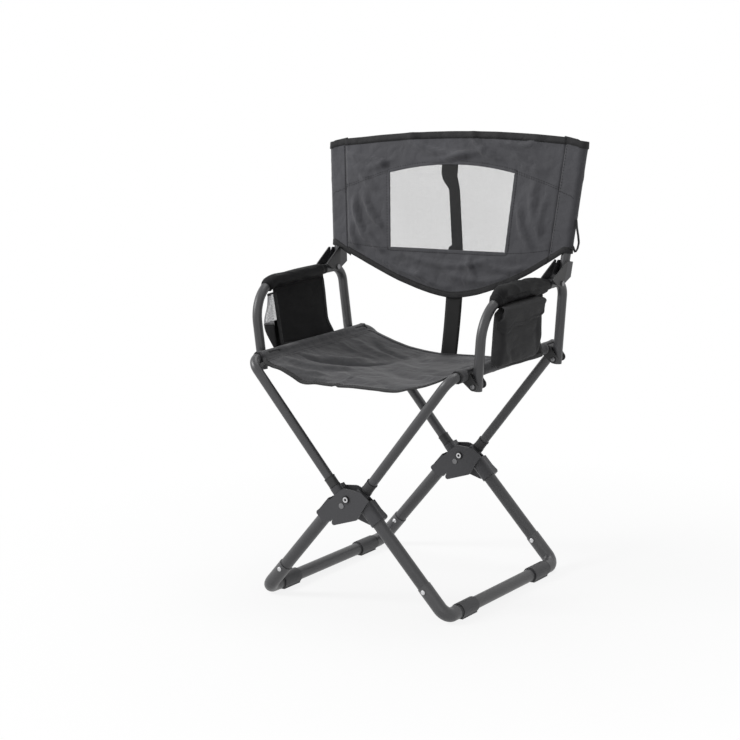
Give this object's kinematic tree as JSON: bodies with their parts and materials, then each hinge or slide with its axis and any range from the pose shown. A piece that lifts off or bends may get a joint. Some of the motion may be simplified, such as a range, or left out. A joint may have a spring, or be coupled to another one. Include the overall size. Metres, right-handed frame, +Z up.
{
  "type": "folding camp chair",
  "caption": "Folding chair with crossed tube frames, a sagging fabric seat, a fabric back with a mesh window, padded arms with pockets, and hinges that fold it sideways.",
  "frame": {"origin": "on the floor under the middle of the chair, midway between the front and rear crossed tubes and between the left and right rails", "axes": "+X towards the chair's side that is on the right as seen from in front, +Y towards the back, +Z up"},
  "size_m": [0.604, 0.4552, 0.8829],
  "materials": {
    "frame_paint": "fine-grained dark grey powder coat",
    "bracket_paint": "satin black-grey powder coat",
    "rivet_metal": "bright zinc-plated steel",
    "black_plastic": "matt black moulded nylon",
    "foot_plastic": "matt dark grey moulded plastic",
    "seat_fabric": "dark grey coated polyester weave",
    "pocket_fabric": "black coated polyester weave",
    "net_fabric": "light grey polyester net",
    "window_mesh": "fine open polyester net",
    "webbing": "black woven webbing"
  },
  "bodies": {
    "frame_b": {"seat_tube_left": "frame_paint", "leg_front_right": "frame_paint", "leg_rear_right": "frame_paint", "floor_rail_right": "frame_paint", "elbow_front_right": "frame_paint", "elbow_rear_right": "frame_paint", "rail_rings_right": "black_plastic", "foot_pads_right": "foot_plastic", "leg_rivets_right": "rivet_metal", "hub_bracket_front_b": "bracket_paint", "hub_bracket_rear_b": "bracket_paint", "main_pivot_front": "rivet_metal", "main_pivot_rear": "rivet_metal", "stop_pins_b": "rivet_metal", "tube_collars_left": "black_plastic", "arm_brackets_left": "bracket_paint", "arm_pins_left": "rivet_metal", "seat_sling": "seat_fabric"},
    "frame_a": {"seat_tube_right": "frame_paint", "leg_front_left": "frame_paint", "leg_rear_left": "frame_paint", "floor_rail_left": "frame_paint", "elbow_front_left": "frame_paint", "elbow_rear_left": "frame_paint", "rail_rings_left": "black_plastic", "foot_pads_left": "foot_plastic", "leg_rivets_left": "rivet_metal", "hub_bracket_front_a": "bracket_paint", "hub_bracket_rear_a": "bracket_paint", "stop_pins_a": "rivet_metal", "tube_collars_right": "black_plastic", "arm_brackets_right": "bracket_paint", "arm_pins_right": "rivet_metal"},
    "arm_left": {"arm_bushes_left": "black_plastic", "arm_tube_left": "frame_paint", "arm_sleeve_left": "pocket_fabric", "arm_panel_left": "pocket_fabric", "net_pocket_left": "net_fabric", "hinge_pin_left": "rivet_metal", "seat_strap": "webbing"},
    "arm_right": {"arm_bushes_right": "black_plastic", "arm_tube_right": "frame_paint", "arm_sleeve_right": "pocket_fabric", "arm_panel_right": "pocket_fabric", "side_pocket_right": "pocket_fabric", "hinge_pin_right": "rivet_metal"},
    "pocket_flap": {"pocket_flap_right": "pocket_fabric"},
    "back_left": {"back_bracket_left": "bracket_paint", "hinge_plates_left": "black_plastic", "upright_left": "frame_paint", "upright_cap_left": "black_plastic", "back_panel": "seat_fabric", "back_window": "window_mesh", "back_strap": "webbing"},
    "back_right": {"back_bracket_right": "bracket_paint", "hinge_plates_right": "black_plastic", "upright_right": "frame_paint", "upright_cap_right": "black_plastic", "side_tag": "webbing"}
  },
  "joints": [
    {"name": "side_fold", "type": "hinge", "parent": "frame_b", "child": "frame_a", "pos_m": [0, 0, 0.222], "axis": [0, -1, 0], "range_deg": [0, 79], "deforming": ["seat_sling", "back_panel", "back_window", "back_strap", "seat_strap"]},
    {"name": "arm_left_swing", "type": "hinge", "parent": "frame_b", "child": "arm_left", "pos_m": [-0.249, 0, 0.452], "axis": [0, -1, 0], "range_deg": [0, 40]},
    {"name": "arm_right_swing", "type": "hinge", "parent": "frame_a", "child": "arm_right", "pos_m": [0.249, 0, 0.452], "axis": [0, -1, 0], "range_deg": [-40, 0]},
    {"name": "back_fold", "type": "hinge", "parent": "arm_left", "child": "back_left", "pos_m": [-0.26487, 0.1315, 0.6082], "axis": [0.9949, 0, 0.1011], "range_deg": [0, 92]},
    {"name": "back_fold_right", "type": "hinge", "parent": "arm_right", "child": "back_right", "pos_m": [0.26487, 0.1315, 0.6082], "axis": [0.9949, 0, -0.1011], "range_deg": [0, 92.5]},
    {"name": "flap_lift", "type": "hinge", "parent": "arm_right", "child": "pocket_flap", "pos_m": [0.27743, -0.0275, 0.59335], "axis": [0, -1, 0], "range_deg": [0, 80]}
  ],
  "couplings": [
    {"joint": "arm_left_swing", "follows": "side_fold", "ratio": 0.5},
    {"joint": "arm_right_swing", "follows": "side_fold", "ratio": -0.5},
    {"joint": "back_fold_right", "follows": "back_fold", "ratio": 1}
  ]
}
